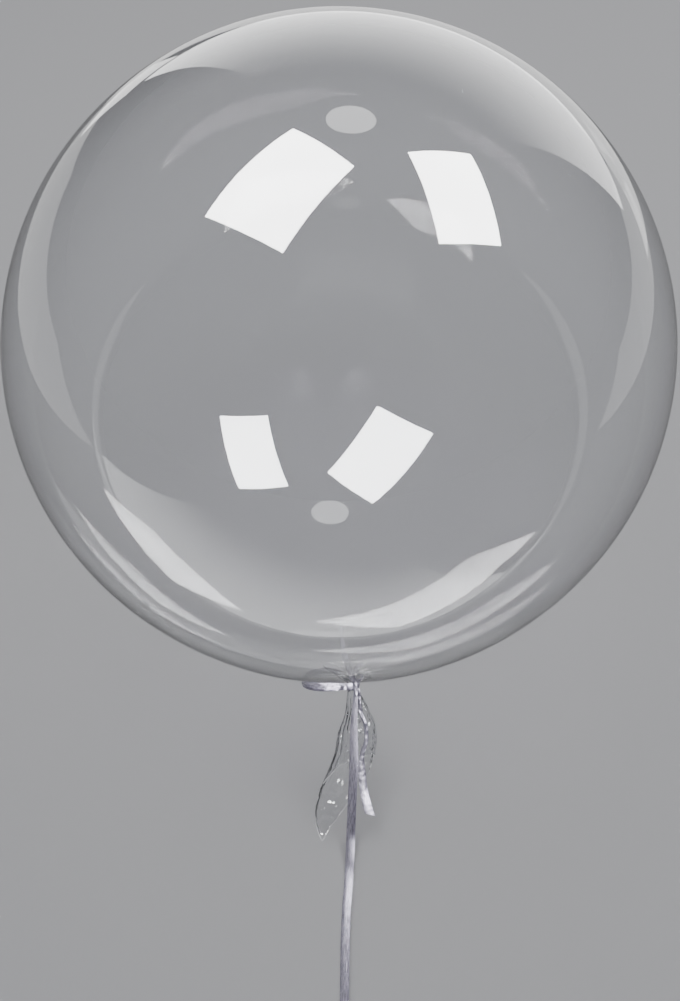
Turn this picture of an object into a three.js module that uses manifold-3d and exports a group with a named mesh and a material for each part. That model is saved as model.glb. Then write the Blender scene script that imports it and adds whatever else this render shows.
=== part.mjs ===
// A clear bubble balloon: one film envelope (a round bubble, its gathered neck and its
// crumpled tail) and one flat ribbon (a knot and a bow at the neck, a short end, and a long
// end that lies on the ground and finishes in a coil).
//
// Millimetres, +Z up. The origin is the middle of the flat foot that the bubble lies on.
// The neck points towards -Y and down, and the tip of the tail touches the ground too.
import * as THREE from 'three';
import { LoftGeometry } from 'three/addons/geometries/LoftGeometry.js';
import { mergeVertices } from 'three/addons/utils/BufferGeometryUtils.js';
import Module from 'manifold-3d';

// The bubble, and the distances along its neck's axis from the bubble's centre.
const BUBBLE_RADIUS = 225;
const FOOT_RADIUS = 30;
const THROAT_START_DEG = 175;
const THROAT_END = 227;
const TAIL_TIP = 342;
const TIP_LIFT = 0.6;
const CENTRE_HEIGHT = Math.sqrt(BUBBLE_RADIUS ** 2 - FOOT_RADIUS ** 2);
const NECK_TILT = Math.asin((CENTRE_HEIGHT - TIP_LIFT) / TAIL_TIP);

// The gathered film. The throat leaves the bubble, flares and meets the neck's bundle.
const NECK_RADIUS = 3.8;
const THROAT_RISE = 0.9;
const THROAT_LIP = { wider: 0.4, rise: 1 };
const PLEATS = 12;
const PLEAT_DEPTH = 0.9;
const PLEAT_SPREAD_DEG = 14;
const PLEAT_LOSS_IN_THROAT = 0.4;
const FILM_SIDES = 48;
const BUBBLE_RINGS = 26;
const THROAT_RINGS = 5;
const FAR_CAP_DEG = 3;
const GROUND_SPAN = 4 * BUBBLE_RADIUS;

// The tail. Each guide point is its lean across, its half width and its distance along.
const TAIL_GUIDE = [
  [0, 3.8, 236],
  [2.6, 9.4, 253],
  [1.2, 14, 271],
  [-4, 16, 288],
  [-11, 15, 303],
  [-19, 11.5, 317],
  [-25, 7, 331],
  [-28, 2.4, 342],
];
const TAIL_RINGS = 16;
const TAIL_HALF_THICKNESS = 1.2;
const TAIL_FOLDS = 2.6;
const TAIL_FOLD_DEPTH = 3.4;
const TAIL_FOLD_TURN = 0.9;
const TAIL_FOLD_TWIST = 2;
const TAIL_FLATTENS_BY = 0.25;

// The ribbon.
const RIBBON_WIDTH = 6;
const RIBBON_THICKNESS = 0.8;
const RIBBON_EDGE = 0.2;

// The knot and the bow, round the neck's axis. The bow's route is across, lift and distance along.
const WRAP_START = 227.4;
const WRAP_END = 235.6;
const WRAP_TURNS = 3;
const WRAP_CLEARANCE = 0.35;
const WRAP_THICKNESS = 1.2;
const WRAP_RIDGE = 0.3;
const WRAP_POINTS_A_TURN = 4;
const WRAP_SIDES = 24;
const CROSSING = { width: 4.6, thickness: 1.8, across: 1.7, lift: 5.6, short: 0.2 };
const BOW_ROUTE = [
  [-1, 5.2, 230],
  [-9, 10.4, 229.6],
  [-20, 12.5, 229.3],
  [-29.5, 7, 229],
  [-33.5, -4, 228.5],
  [-32, -15, 228],
  [-25, -23.5, 227.5],
  [-15, -25.5, 227.5],
  [-7, -18, 228.5],
  [-3, -9, 229.6],
  [-2, -4.8, 230],
];
const BOW_STEPS = 34;

// The short end and the long end: across, lift off the neck's axis, and distance along.
const SHORT_END_ROUTE = [
  [3.8, 6.1, 236.2],
  [3.9, 5.6, 243],
  [5, 5.8, 251],
  [7.2, 6, 258],
  [7.8, 6.1, 264.5],
  [7.2, 6, 270],
  [4.9, 5.9, 276],
  [3.8, 5.8, 283],
  [3.8, 5.7, 292],
  [4.5, 6, 302],
  [6, 7.6, 311],
  [8.2, 10.2, 319.5],
];
const SHORT_END_STEPS = 24;
const LEAD_ON_TAIL = [
  [1.8, 7.1, 236.2],
  [0.7, 7.2, 246],
  [-0.5, 7.2, 258],
  [-1, 7.2, 270],
  [-1.6, 7.2, 283],
  [-2.6, 7, 296],
  [-3.7, 6.4, 309],
  [-4.7, 5.2, 322],
  [-5.6, 4, 334],
];
// The long end on the ground: across and along the ground, and its height.
const LEAD_ON_GROUND = [
  [-7, -270, 2.6],
  [-8.4, -283, 0.9],
  [-10.6, -299, 0.8],
  [-12.3, -315, 0.8],
  [-13.6, -331, 0.8],
  [-14.7, -347, 0.8],
  [-15.8, -363, 0.8],
  [-16.8, -380, 0.8],
  [-17.7, -397, 0.8],
];
const LEAD_STEPS = 40;

// The coil: turns standing on edge, one ribbon width apart.
const COIL_CENTRE = [27.5, -420];
const COIL_OUTER = 47;
const COIL_INNER = 17;
const COIL_HEIGHT = 6.4;
const COIL_EDGE = 1;
const COIL_SIDES = 40;

const FILM = new THREE.MeshStandardMaterial({
  color: 0xe9eef4,
  roughness: 0.04,
  metalness: 0,
  transparent: true,
  opacity: 0.3,
});
const RIBBON = { color: 0xcfcbd8, roughness: 0.32, metalness: 0.1 };

const wasm = await Module();
wasm.setup();

/** The same triangles with only their positions, and their shared vertices merged. */
function weld(geometry) {
  const bare = new THREE.BufferGeometry();
  bare.setAttribute('position', geometry.attributes.position);
  bare.setIndex(geometry.index);
  return mergeVertices(bare, 1e-4);
}

/** A closed geometry as a solid that can be cut and joined. */
function toSolid(geometry) {
  const bare = weld(geometry);
  return new wasm.Manifold(new wasm.Mesh({
    numProp: 3,
    vertProperties: new Float32Array(bare.attributes.position.array),
    triVerts: new Uint32Array(bare.index.array),
  }));
}

/** A solid as a geometry with flat faces. */
function toGeometry(solid) {
  const mesh = solid.getMesh();
  const geometry = new THREE.BufferGeometry();
  geometry.setAttribute('position', new THREE.BufferAttribute(mesh.vertProperties, 3));
  geometry.setIndex(new THREE.BufferAttribute(mesh.triVerts, 1));
  geometry.computeVertexNormals();
  return geometry;
}

/** A smooth curve through hand-placed points. */
function through(points) {
  return new THREE.CatmullRomCurve3(points.map((point) => new THREE.Vector3(...point)));
}

/** A named mesh. */
function piece(name, geometry, material) {
  const mesh = new THREE.Mesh(geometry, material);
  mesh.name = name;
  return mesh;
}

/** One ring of gathered film: its grooves sink along the film's own normal. */
function gatheredRing(radius, along, normal, depth) {
  return Array.from({ length: FILM_SIDES }, (_, i) => {
    const turn = (2 * Math.PI * i) / FILM_SIDES;
    const groove = (depth * (1 - Math.cos(PLEATS * turn))) / 2;
    const reach = radius - groove * normal.x;
    return new THREE.Vector3(
      reach * Math.cos(turn),
      reach * Math.sin(turn),
      along - groove * normal.y,
    );
  });
}

/** How deep the pleats are, a given angle short of the neck. */
function pleatDepth(degreesFromNeck) {
  return PLEAT_DEPTH * (1 - THREE.MathUtils.smoothstep(degreesFromNeck, 0, PLEAT_SPREAD_DEG));
}

/** The rings of the round bubble, from the far side to where the throat begins. */
function bubbleRings() {
  return Array.from({ length: BUBBLE_RINGS + 1 }, (_, i) => {
    const degrees = THREE.MathUtils.lerp(FAR_CAP_DEG, THROAT_START_DEG, i / BUBBLE_RINGS);
    const polar = THREE.MathUtils.degToRad(degrees);
    const normal = new THREE.Vector2(Math.sin(polar), -Math.cos(polar));
    return gatheredRing(
      BUBBLE_RADIUS * normal.x,
      BUBBLE_RADIUS * normal.y,
      normal,
      pleatDepth(180 - degrees),
    );
  });
}

/** The rings where the bubble draws in to the tied neck. */
function throatRings() {
  const polar = THREE.MathUtils.degToRad(THROAT_START_DEG);
  const start = new THREE.Vector2(Math.sin(polar), -Math.cos(polar)).multiplyScalar(BUBBLE_RADIUS);
  const curve = new THREE.CubicBezierCurve(
    start,
    new THREE.Vector2(start.x / 2, start.y + THROAT_RISE),
    new THREE.Vector2(NECK_RADIUS + THROAT_LIP.wider, start.y + THROAT_LIP.rise),
    new THREE.Vector2(NECK_RADIUS, THROAT_END),
  );
  return Array.from({ length: THROAT_RINGS }, (_, i) => {
    const share = (i + 1) / THROAT_RINGS;
    const point = curve.getPoint(share);
    const tangent = curve.getTangent(share);
    const normal = new THREE.Vector2(tangent.y, -tangent.x);
    const depth = PLEAT_DEPTH * (1 - PLEAT_LOSS_IN_THROAT * share);
    return gatheredRing(point.x, point.y, normal, depth);
  });
}

/** The rings of the tail: the neck's round bundle opens into a folded, leaning flap. */
function tailRings() {
  const guide = through(TAIL_GUIDE);
  return Array.from({ length: TAIL_RINGS + 1 }, (_, i) => {
    const share = i / TAIL_RINGS;
    const [lean, halfWidth, along] = guide.getPoint(share).toArray();
    const flat = THREE.MathUtils.smoothstep(share, 0, TAIL_FLATTENS_BY);
    const thickness = THREE.MathUtils.lerp(NECK_RADIUS, TAIL_HALF_THICKNESS, flat);
    const fold = TAIL_FOLD_DEPTH * Math.sqrt(Math.max(Math.sin(Math.PI * share), 0));
    return Array.from({ length: FILM_SIDES }, (_, j) => {
      const turn = (2 * Math.PI * j) / FILM_SIDES;
      const across = Math.cos(turn);
      const phase = TAIL_FOLD_TURN + TAIL_FOLD_TWIST * share;
      const wave = fold * Math.sin(TAIL_FOLDS * Math.PI * across + phase);
      return new THREE.Vector3(
        lean + halfWidth * across,
        wave + thickness * Math.sin(turn),
        along,
      );
    });
  });
}

/** The whole envelope, laid down and cut flat where it meets the ground. */
function filmGeometry(pose) {
  const sections = [...bubbleRings(), ...throatRings(), ...tailRings()];
  const envelope = new LoftGeometry(sections, { capStart: true, capEnd: true });
  envelope.applyMatrix4(pose);
  const ground = new THREE.BoxGeometry(GROUND_SPAN, GROUND_SPAN, BUBBLE_RADIUS);
  ground.translate(0, 0, -BUBBLE_RADIUS / 2);
  return toGeometry(toSolid(envelope).subtract(toSolid(ground)));
}

/** The ribbon's flat section, its width across and its thickness up. */
function ribbonSection(width = RIBBON_WIDTH, thickness = RIBBON_THICKNESS) {
  const side = width / 2;
  const face = thickness / 2;
  const inner = side - RIBBON_EDGE;
  const low = face - RIBBON_EDGE;
  return new THREE.Shape([
    new THREE.Vector2(inner, -face),
    new THREE.Vector2(side, -low),
    new THREE.Vector2(side, low),
    new THREE.Vector2(inner, face),
    new THREE.Vector2(-inner, face),
    new THREE.Vector2(-side, low),
    new THREE.Vector2(-side, -low),
    new THREE.Vector2(-inner, -face),
  ]);
}

/** A length of ribbon along a curve. */
function ribbonAlong(curve, steps) {
  return new THREE.ExtrudeGeometry(ribbonSection(), { steps, extrudePath: curve });
}

/** The wraps round the neck, as one ridged ring. */
function wrapsGeometry() {
  const inner = NECK_RADIUS + WRAP_CLEARANCE;
  const outer = inner + WRAP_THICKNESS;
  const profile = [];
  profile.push(new THREE.Vector2(inner, WRAP_START));
  const steps = WRAP_POINTS_A_TURN * WRAP_TURNS;
  for (let i = 0; i <= steps; i++) {
    const share = i / steps;
    const ridge = WRAP_RIDGE * (1 - Math.cos(2 * Math.PI * WRAP_TURNS * share));
    profile.push(new THREE.Vector2(
      outer + ridge,
      THREE.MathUtils.lerp(WRAP_START, WRAP_END, share),
    ));
  }
  profile.push(new THREE.Vector2(inner, WRAP_END));
  profile.push(profile[0].clone());
  return new THREE.LatheGeometry(profile, WRAP_SIDES).rotateX(Math.PI / 2);
}

/** The band that crosses the wraps and holds them. */
function crossingGeometry() {
  const height = WRAP_END - WRAP_START - CROSSING.short;
  return new THREE.BoxGeometry(CROSSING.width, CROSSING.thickness, height)
    .translate(CROSSING.across, CROSSING.lift, (WRAP_START + WRAP_END) / 2);
}

/** The knot and the single bow loop, joined as one piece. */
function bowGeometry() {
  return toGeometry(
    toSolid(wrapsGeometry())
      .add(toSolid(crossingGeometry()))
      .add(toSolid(ribbonAlong(through(BOW_ROUTE), BOW_STEPS))),
  );
}

/** The long end, from under the knot down over the tail and along the ground. */
function leadGeometry(pose) {
  const onTail = LEAD_ON_TAIL.map((point) => new THREE.Vector3(...point).applyMatrix4(pose).toArray());
  return ribbonAlong(through([...onTail, ...LEAD_ON_GROUND]), LEAD_STEPS);
}

/** The outer shape of the coil, as a ring that lies on the ground. */
function coilGeometry() {
  const profile = [
    new THREE.Vector2(COIL_INNER, 0),
    new THREE.Vector2(COIL_OUTER, 0),
    new THREE.Vector2(COIL_OUTER, COIL_HEIGHT - COIL_EDGE),
    new THREE.Vector2(COIL_OUTER - COIL_EDGE, COIL_HEIGHT),
    new THREE.Vector2(COIL_INNER + COIL_EDGE, COIL_HEIGHT),
    new THREE.Vector2(COIL_INNER, COIL_HEIGHT - COIL_EDGE),
    new THREE.Vector2(COIL_INNER, 0),
  ];
  return new THREE.LatheGeometry(profile, COIL_SIDES).rotateX(Math.PI / 2);
}

const balloon = new THREE.Group();

// The frame of the balloon as it lies: X across, Y up off the tail, Z out through the neck.
const lying = new THREE.Group();
lying.position.set(0, 0, CENTRE_HEIGHT);
lying.rotation.x = Math.PI / 2 + NECK_TILT;
lying.updateMatrix();
balloon.add(lying);

balloon.add(piece('balloon_film', filmGeometry(lying.matrix), FILM));
lying.add(piece('ribbon_bow', bowGeometry(), new THREE.MeshStandardMaterial(RIBBON)));
lying.add(piece(
  'ribbon_short_end',
  ribbonAlong(through(SHORT_END_ROUTE), SHORT_END_STEPS),
  new THREE.MeshStandardMaterial(RIBBON),
));
balloon.add(piece('ribbon_lead', leadGeometry(lying.matrix), new THREE.MeshStandardMaterial(RIBBON)));

const coil = piece('ribbon_coil', coilGeometry(), new THREE.MeshStandardMaterial(RIBBON));
coil.position.set(COIL_CENTRE[0], COIL_CENTRE[1], 0);
balloon.add(coil);

export default balloon;
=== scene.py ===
"""A clear bubble balloon as it lies on a plain floor.

The bubble, its gathered neck and its crumpled tail are one film. A flat pearly ribbon is tied
round the neck with one bow loop. Its short end hangs on the tail, and its long end runs down
over the tail and along the floor to a coil. Everything is in metres, in the model's own frame.
"""

import logging
import math
from dataclasses import dataclass, field
from enum import Enum
from typing import Callable, Iterable, Sequence

import bmesh
import bpy
from mathutils import Matrix, Vector, noise
from mathutils.geometry import interpolate_bezier


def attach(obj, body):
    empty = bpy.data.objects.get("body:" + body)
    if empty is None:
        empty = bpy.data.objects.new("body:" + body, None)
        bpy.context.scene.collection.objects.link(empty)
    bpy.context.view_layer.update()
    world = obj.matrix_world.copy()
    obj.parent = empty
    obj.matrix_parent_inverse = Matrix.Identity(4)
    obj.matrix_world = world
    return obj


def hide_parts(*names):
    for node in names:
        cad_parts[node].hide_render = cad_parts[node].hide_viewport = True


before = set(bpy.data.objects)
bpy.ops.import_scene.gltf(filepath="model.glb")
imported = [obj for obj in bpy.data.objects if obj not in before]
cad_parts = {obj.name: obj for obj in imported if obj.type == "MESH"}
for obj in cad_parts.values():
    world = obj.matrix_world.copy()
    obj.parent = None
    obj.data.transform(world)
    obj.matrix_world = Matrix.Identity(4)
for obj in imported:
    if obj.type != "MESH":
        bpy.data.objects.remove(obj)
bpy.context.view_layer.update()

MM = 0.001
UP = Vector((0.0, 0.0, 1.0))
IMAGE_HEIGHT = 1001
EXPOSURE = 2.0

log = logging.getLogger("balloon")


# ---------------------------------------------------------------- small helpers


def eased(share: float) -> float:
    """Returns a smooth step from 0 to 1 for a share that is first held between 0 and 1."""
    held = min(max(share, 0.0), 1.0)
    return held * held * (3.0 - 2.0 * held)


def mixed(start: float, end: float, share: float) -> float:
    """Returns the value a given share of the way from start to end."""
    return start + (end - start) * share


def in_metres(points: Iterable[Sequence[float]]) -> list[Vector]:
    """Returns points given in millimetres as vectors in metres."""
    return [Vector(point) * MM for point in points]


def smooth_curve(points: Sequence[Vector], per_span: int = 24) -> list[Vector]:
    """Draws a centripetal curve through given points.

    Args:
        points: The points that the curve passes through, in order.
        per_span: How many steps the curve takes between two of them.

    Returns:
        The points of the curve, close together, from the first point to the last.
    """
    ends = [points[0] * 2 - points[1], *points, points[-1] * 2 - points[-2]]
    drawn = []
    for before, start, end, after in zip(ends, ends[1:], ends[2:], ends[3:]):
        come = math.sqrt((start - before).length)
        cross = math.sqrt((end - start).length)
        leave = math.sqrt((after - end).length)
        middle = (end - start) / cross
        out = (start - before) / come - (end - before) / (come + cross) + middle
        into = middle - (after - start) / (cross + leave) + (after - end) / leave
        drawn += interpolate_bezier(
            start, start + out * cross / 3, end - into * cross / 3, end, per_span + 1
        )[:-1]
    return [*drawn, points[-1].copy()]


def evenly(points: Sequence[Vector], step: float) -> list[Vector]:
    """Walks along a line of points and returns points about one step apart, ends included."""
    lengths = [0.0]
    for near, far in zip(points, points[1:]):
        lengths.append(lengths[-1] + (far - near).length)
    count = max(round(lengths[-1] / step), 2)
    walked, span = [], 0
    for i in range(count + 1):
        wanted = lengths[-1] * i / count
        while span < len(points) - 2 and lengths[span + 1] < wanted:
            span += 1
        room = max(lengths[span + 1] - lengths[span], 1e-12)
        walked.append(points[span].lerp(points[span + 1], (wanted - lengths[span]) / room))
    return walked


def length_of(points: Sequence[Vector]) -> float:
    """Returns the length of a line of points."""
    return sum((far - near).length for near, far in zip(points, points[1:]))


def tangents_of(points: Sequence[Vector]) -> list[Vector]:
    """Returns the direction of a line at each of its points."""
    last = len(points) - 1
    return [
        (points[min(i + 1, last)] - points[max(i - 1, 0)]).normalized()
        for i in range(last + 1)
    ]


def as_object(
    name: str,
    shape: bmesh.types.BMesh,
    smooth: bool = True,
    sharp_from: float | None = None,
) -> bpy.types.Object:
    """Turns a finished shape into an object at the origin.

    Args:
        name: The object's name.
        shape: The shape, which is freed.
        smooth: Whether its faces are shaded smooth.
        sharp_from: The angle between faces, in degrees, past which their edge is sharp.

    Returns:
        The new object, linked to the scene.
    """
    mesh = bpy.data.meshes.new(name)
    for face in shape.faces:
        face.smooth = smooth
    shape.to_mesh(mesh)
    shape.free()
    if sharp_from is not None:
        mesh.set_sharp_from_angle(angle=math.radians(sharp_from))
    made = bpy.data.objects.new(name, mesh)
    bpy.context.scene.collection.objects.link(made)
    return made


# ---------------------------------------------------------------- how it lies


@dataclass(frozen=True)
class LyingPose:
    """How the balloon lies: on a small flat foot, with its neck towards -Y and down."""

    bubble_radius: float = 225 * MM
    foot_radius: float = 30 * MM
    tail_tip: float = 342 * MM
    tip_lift: float = 0.6 * MM

    @property
    def centre_height(self) -> float:
        """Returns the height of the bubble's centre over the floor."""
        return math.sqrt(self.bubble_radius**2 - self.foot_radius**2)

    @property
    def centre(self) -> Vector:
        """Returns the bubble's centre."""
        return UP * self.centre_height

    @property
    def neck_tilt(self) -> float:
        """Returns how far the neck's axis points below the horizon."""
        return math.asin((self.centre_height - self.tip_lift) / self.tail_tip)

    @property
    def matrix(self) -> Matrix:
        """Returns the turn and move from the balloon's own frame: across, lift and along."""
        turn = Matrix.Rotation(math.pi / 2 + self.neck_tilt, 4, "X")
        return Matrix.Translation(self.centre) @ turn

    def placed(self, points: Iterable[Vector]) -> list[Vector]:
        """Returns points of the balloon's own frame as they lie."""
        matrix = self.matrix
        return [matrix @ point for point in points]

    def turned(self, direction: Sequence[float]) -> Vector:
        """Returns a direction of the balloon's own frame as it lies."""
        return (self.matrix.to_3x3() @ Vector(direction)).normalized()


# ---------------------------------------------------------------- camera and studio


@dataclass(frozen=True)
class Viewpoint:
    """The camera: it looks down on the lying balloon, square to the neck's axis."""

    pose: LyingPose
    distance: float = 1.0
    azimuth: float = math.radians(-3.03)
    lens: float = 52.72
    sensor: float = 36.0
    raised_by: float = 155.5
    aside_by: float = 1.0

    def build(self) -> bpy.types.Object:
        """Makes the camera and gives it to the scene.

        Returns:
            The camera.
        """
        elevation = math.pi / 2 - self.pose.neck_tilt
        level = math.cos(elevation)
        back = Vector((
            math.sin(self.azimuth) * level,
            -math.cos(self.azimuth) * level,
            math.sin(elevation),
        ))
        data = bpy.data.cameras.new("camera")
        data.lens = self.lens
        data.sensor_width = self.sensor
        data.shift_x = self.aside_by / IMAGE_HEIGHT
        data.shift_y = -self.raised_by / IMAGE_HEIGHT
        camera = bpy.data.objects.new("camera", data)
        camera.location = self.pose.centre + back * self.distance
        camera.rotation_mode = "QUATERNION"
        camera.rotation_quaternion = (-back).to_track_quat("-Z", "Y")
        bpy.context.scene.collection.objects.link(camera)
        bpy.context.scene.camera = camera
        return camera


class LampShape(Enum):
    """The outline of a lamp's diffuser."""

    SOFTBOX = "RECTANGLE"
    ROUND = "ELLIPSE"


@dataclass(frozen=True)
class SoftLamp:
    """One soft studio lamp, given by its middle, the way it faces and its diffuser.

    Its light on everything and the light that only the film mirrors are set apart, so that the
    glints stand out from a pale floor.
    """

    name: str
    place: tuple[float, float, float]
    facing: tuple[float, float, float]
    along: tuple[float, float, float]
    width: float
    height: float
    light: float = 0.0
    glint: float = 0.0
    fill: float = 0.0
    sheen: float = 0.0
    fade: float = 1.0
    shape: LampShape = LampShape.SOFTBOX

    def build(self, film: bpy.types.Collection, satin: bpy.types.Collection) -> None:
        """Makes the lamp's parts, one for each kind of light that it gives.

        Args:
            film: The collection that holds the film, which mirrors the glints.
            satin: The collection that holds the ribbon's pieces.
        """
        if self.light > 0.0:
            self.hang(self.name, self.light).visible_glossy = False
        if self.glint > 0.0:
            twin = self.hang(self.name + "_glint", self.glint, 1 * MM)
            twin.light_linking.receiver_collection = film
            self.show_only_mirrored(twin.data)
        if self.fill > 0.0:
            soft = self.hang(self.name + "_fill", self.fill, 2 * MM)
            soft.light_linking.receiver_collection = satin
            soft.visible_glossy = False
        if self.sheen > 0.0:
            gloss = self.hang(self.name + "_sheen", self.sheen, 3 * MM)
            gloss.light_linking.receiver_collection = satin
            gloss.visible_diffuse = False

    def hang(self, name: str, brightness: float, forward: float = 0.0) -> bpy.types.Object:
        """Makes one lamp of a given brightness.

        Args:
            name: The lamp's name.
            brightness: How bright its face is, as the picture shows it.
            forward: How far it stands forward of its place.

        Returns:
            The lamp.
        """
        back = -Vector(self.facing).normalized()
        side = Vector(self.along).cross(back).normalized()
        upright = back.cross(side)
        data = bpy.data.lights.new(name, "AREA")
        data.shape = self.shape.value
        data.size = self.width
        data.size_y = self.height
        data.energy = brightness * math.pi * self.width * self.height / 2**EXPOSURE
        lamp = bpy.data.objects.new(name, data)
        turn = Matrix((side, upright, back)).transposed().to_4x4()
        lamp.matrix_world = Matrix.Translation(Vector(self.place) - back * forward) @ turn
        lamp.visible_camera = False
        bpy.context.scene.collection.objects.link(lamp)
        return lamp

    def show_only_mirrored(self, data: bpy.types.Light) -> None:
        """Lights only what is mirrored, never what is seen straight through, and fades upwards."""
        data.use_nodes = True
        desk = NodeDesk(data.node_tree)
        path = desk.add("ShaderNodeLightPath")
        mirrored = desk.maths("MINIMUM", path.outputs["Glossy Depth"], 1.0)
        place = desk.add("ShaderNodeNewGeometry")
        apart = desk.add("ShaderNodeSeparateXYZ")
        desk.link(place.outputs["Parametric"], apart.inputs["Vector"])
        glow = desk.spread(apart.outputs["Y"], 0.0, 1.0, 1.0, self.fade)
        strength = desk.maths("MULTIPLY", mirrored, glow)
        desk.link(strength, data.node_tree.nodes["Emission"].inputs["Strength"])


def floor_panel(
    name: str,
    place: tuple[float, float],
    heading: float,
    width: float,
    depth: float,
    glint: float,
) -> SoftLamp:
    """Lays a dim lit panel on the floor, face up, out of view.

    Args:
        name: The panel's name.
        place: Where its middle lies on the floor.
        heading: Where its far edge points, in degrees round from +Y towards +X.
        width: Its width.
        depth: Its depth, from the near edge to the far one.
        glint: How bright the film mirrors it.

    Returns:
        The panel, as a lamp.
    """
    way = math.radians(heading)
    along = (math.sin(way), math.cos(way), 0.0)
    return SoftLamp(name, (*place, 0.01), (0.0, 0.0, 1.0), along, width, depth, glint=glint)


def studio_lamps() -> list[SoftLamp]:
    """Returns the studio's lamps: two softboxes, a small round lamp, and low panels around."""
    return [
        SoftLamp(
            name="left_softbox",
            place=(-0.32, 0.25, 1.55),
            facing=(0.48, 0.11, -0.87),
            along=(0.55, 0.73, 0.40),
            width=0.6,
            height=0.9,
            light=5.0,
            glint=45.0,
        ),
        SoftLamp(
            name="right_softbox",
            place=(0.95, 0.27, 1.67),
            facing=(-0.40, 0.08, -0.91),
            along=(-0.22, 0.96, 0.18),
            width=0.6,
            height=0.9,
            light=5.0,
            glint=45.0,
        ),
        SoftLamp(
            name="round_lamp",
            place=(0.14, 0.92, 1.76),
            facing=(0.0, -0.5, -0.85),
            along=(0.0, 0.85, -0.5),
            width=0.38,
            height=0.34,
            light=0.5,
            glint=3.0,
            shape=LampShape.ROUND,
        ),
        SoftLamp(
            name="tall_back_lamp",
            place=(0.42, 1.42, 0.76),
            facing=(-0.27, -0.93, 0.22),
            along=(0.0, 0.0, 1.0),
            width=2.2,
            height=1.5,
            glint=2.8,
            fade=0.0,
        ),
        SoftLamp(
            name="front_satin_lamp",
            place=(0.05, -0.85, 1.30),
            facing=(-0.04, 0.44, -0.90),
            along=(1.0, 0.0, 0.0),
            width=0.78,
            height=0.6,
            fill=5.0,
            sheen=12.0,
        ),
        SoftLamp(
            name="right_satin_lamp",
            place=(0.64, -0.82, 1.22),
            facing=(-0.42, 0.42, -0.80),
            along=(1.0, 0.0, 0.0),
            width=0.55,
            height=0.6,
            sheen=38.0,
        ),
        SoftLamp(
            name="side_satin_lamp",
            place=(0.75, -1.25, 0.85),
            facing=(-0.47, 0.65, -0.52),
            along=(0.0, 0.0, 1.0),
            width=0.45,
            height=0.5,
            sheen=13.0,
        ),
        floor_panel("back_left_panel", (-0.5, 1.15), -15.0, 0.25, 0.6, glint=2.0),
        floor_panel("back_panel", (0.36, 1.04), 14.0, 1.3, 0.9, glint=1.1),
        floor_panel("left_panel", (-1.25, 0.6), -60.0, 1.4, 1.3, glint=0.6),
        floor_panel("right_panel", (1.35, 0.45), 70.0, 1.3, 1.1, glint=0.6),
    ]


def linked_group(name: str, pieces: Sequence[bpy.types.Object]) -> bpy.types.Collection:
    """Gathers pieces in a collection that a lamp can be linked to."""
    made = bpy.data.collections.new(name)
    for piece in pieces:
        made.objects.link(piece)
    return made


@dataclass(frozen=True)
class Studio:
    """The plain pale floor, the lamps, and the pale room round them, which mirrors dimly."""

    film: bpy.types.Object
    ribbon: tuple[bpy.types.Object, ...]
    floor_size: float = 60.0
    floor_drop: float = 0.2 * MM
    room_colour: tuple[float, float, float] = (0.97, 0.98, 1.0)
    room_light: float = 0.5
    room_mirrored: float = 0.03

    def build(self) -> bpy.types.Object:
        """Makes the floor, the lamps and the room's dim light.

        Returns:
            The floor.
        """
        shape = bmesh.new()
        bmesh.ops.create_grid(shape, x_segments=1, y_segments=1, size=self.floor_size / 2)
        bmesh.ops.translate(shape, verts=shape.verts, vec=-UP * self.floor_drop)
        floor = as_object("floor", shape, smooth=False)
        floor.data.materials.append(FloorFinish().build())
        film = linked_group("mirrors_the_glints", [self.film])
        satin = linked_group("takes_the_sheen", self.ribbon)
        for lamp in studio_lamps():
            lamp.build(film, satin)
        bpy.context.scene.world = self.build_room()
        bpy.context.scene.view_settings.exposure = EXPOSURE
        return floor

    def build_room(self) -> bpy.types.World:
        """Makes the room's even light, which is dim where the film mirrors it.

        Returns:
            The room.
        """
        world = bpy.data.worlds.new("room")
        world.use_nodes = True
        desk = NodeDesk(world.node_tree)
        background = world.node_tree.nodes["Background"]
        background.inputs["Color"].default_value = (*self.room_colour, 1.0)
        path = desk.add("ShaderNodeLightPath")
        bounced = path.outputs["Glossy Depth"]
        ends = (self.room_light / 2**EXPOSURE, self.room_mirrored / 2**EXPOSURE)
        desk.link(desk.spread(bounced, 0.0, 1.0, *ends), background.inputs["Strength"])
        return world


# ---------------------------------------------------------------- finishes


def socket_group(
    name: str,
    inputs: dict[str, float],
    outputs: dict[str, str],
) -> tuple[bpy.types.NodeTree, bpy.types.Node, bpy.types.Node]:
    """Starts a shader node group with named sockets.

    Args:
        name: The group's name.
        inputs: Each number input with its usual value. A Vector input comes first.
        outputs: Each output with its socket type.

    Returns:
        The group, its input node and its output node.
    """
    tree = bpy.data.node_groups.new(name, "ShaderNodeTree")
    tree.interface.new_socket(name="Vector", in_out="INPUT", socket_type="NodeSocketVector")
    for label, usual in inputs.items():
        made = tree.interface.new_socket(
            name=label, in_out="INPUT", socket_type="NodeSocketFloat"
        )
        made.default_value = usual
    for label, kind in outputs.items():
        tree.interface.new_socket(name=label, in_out="OUTPUT", socket_type=kind)
    return tree, tree.nodes.new("NodeGroupInput"), tree.nodes.new("NodeGroupOutput")


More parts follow.
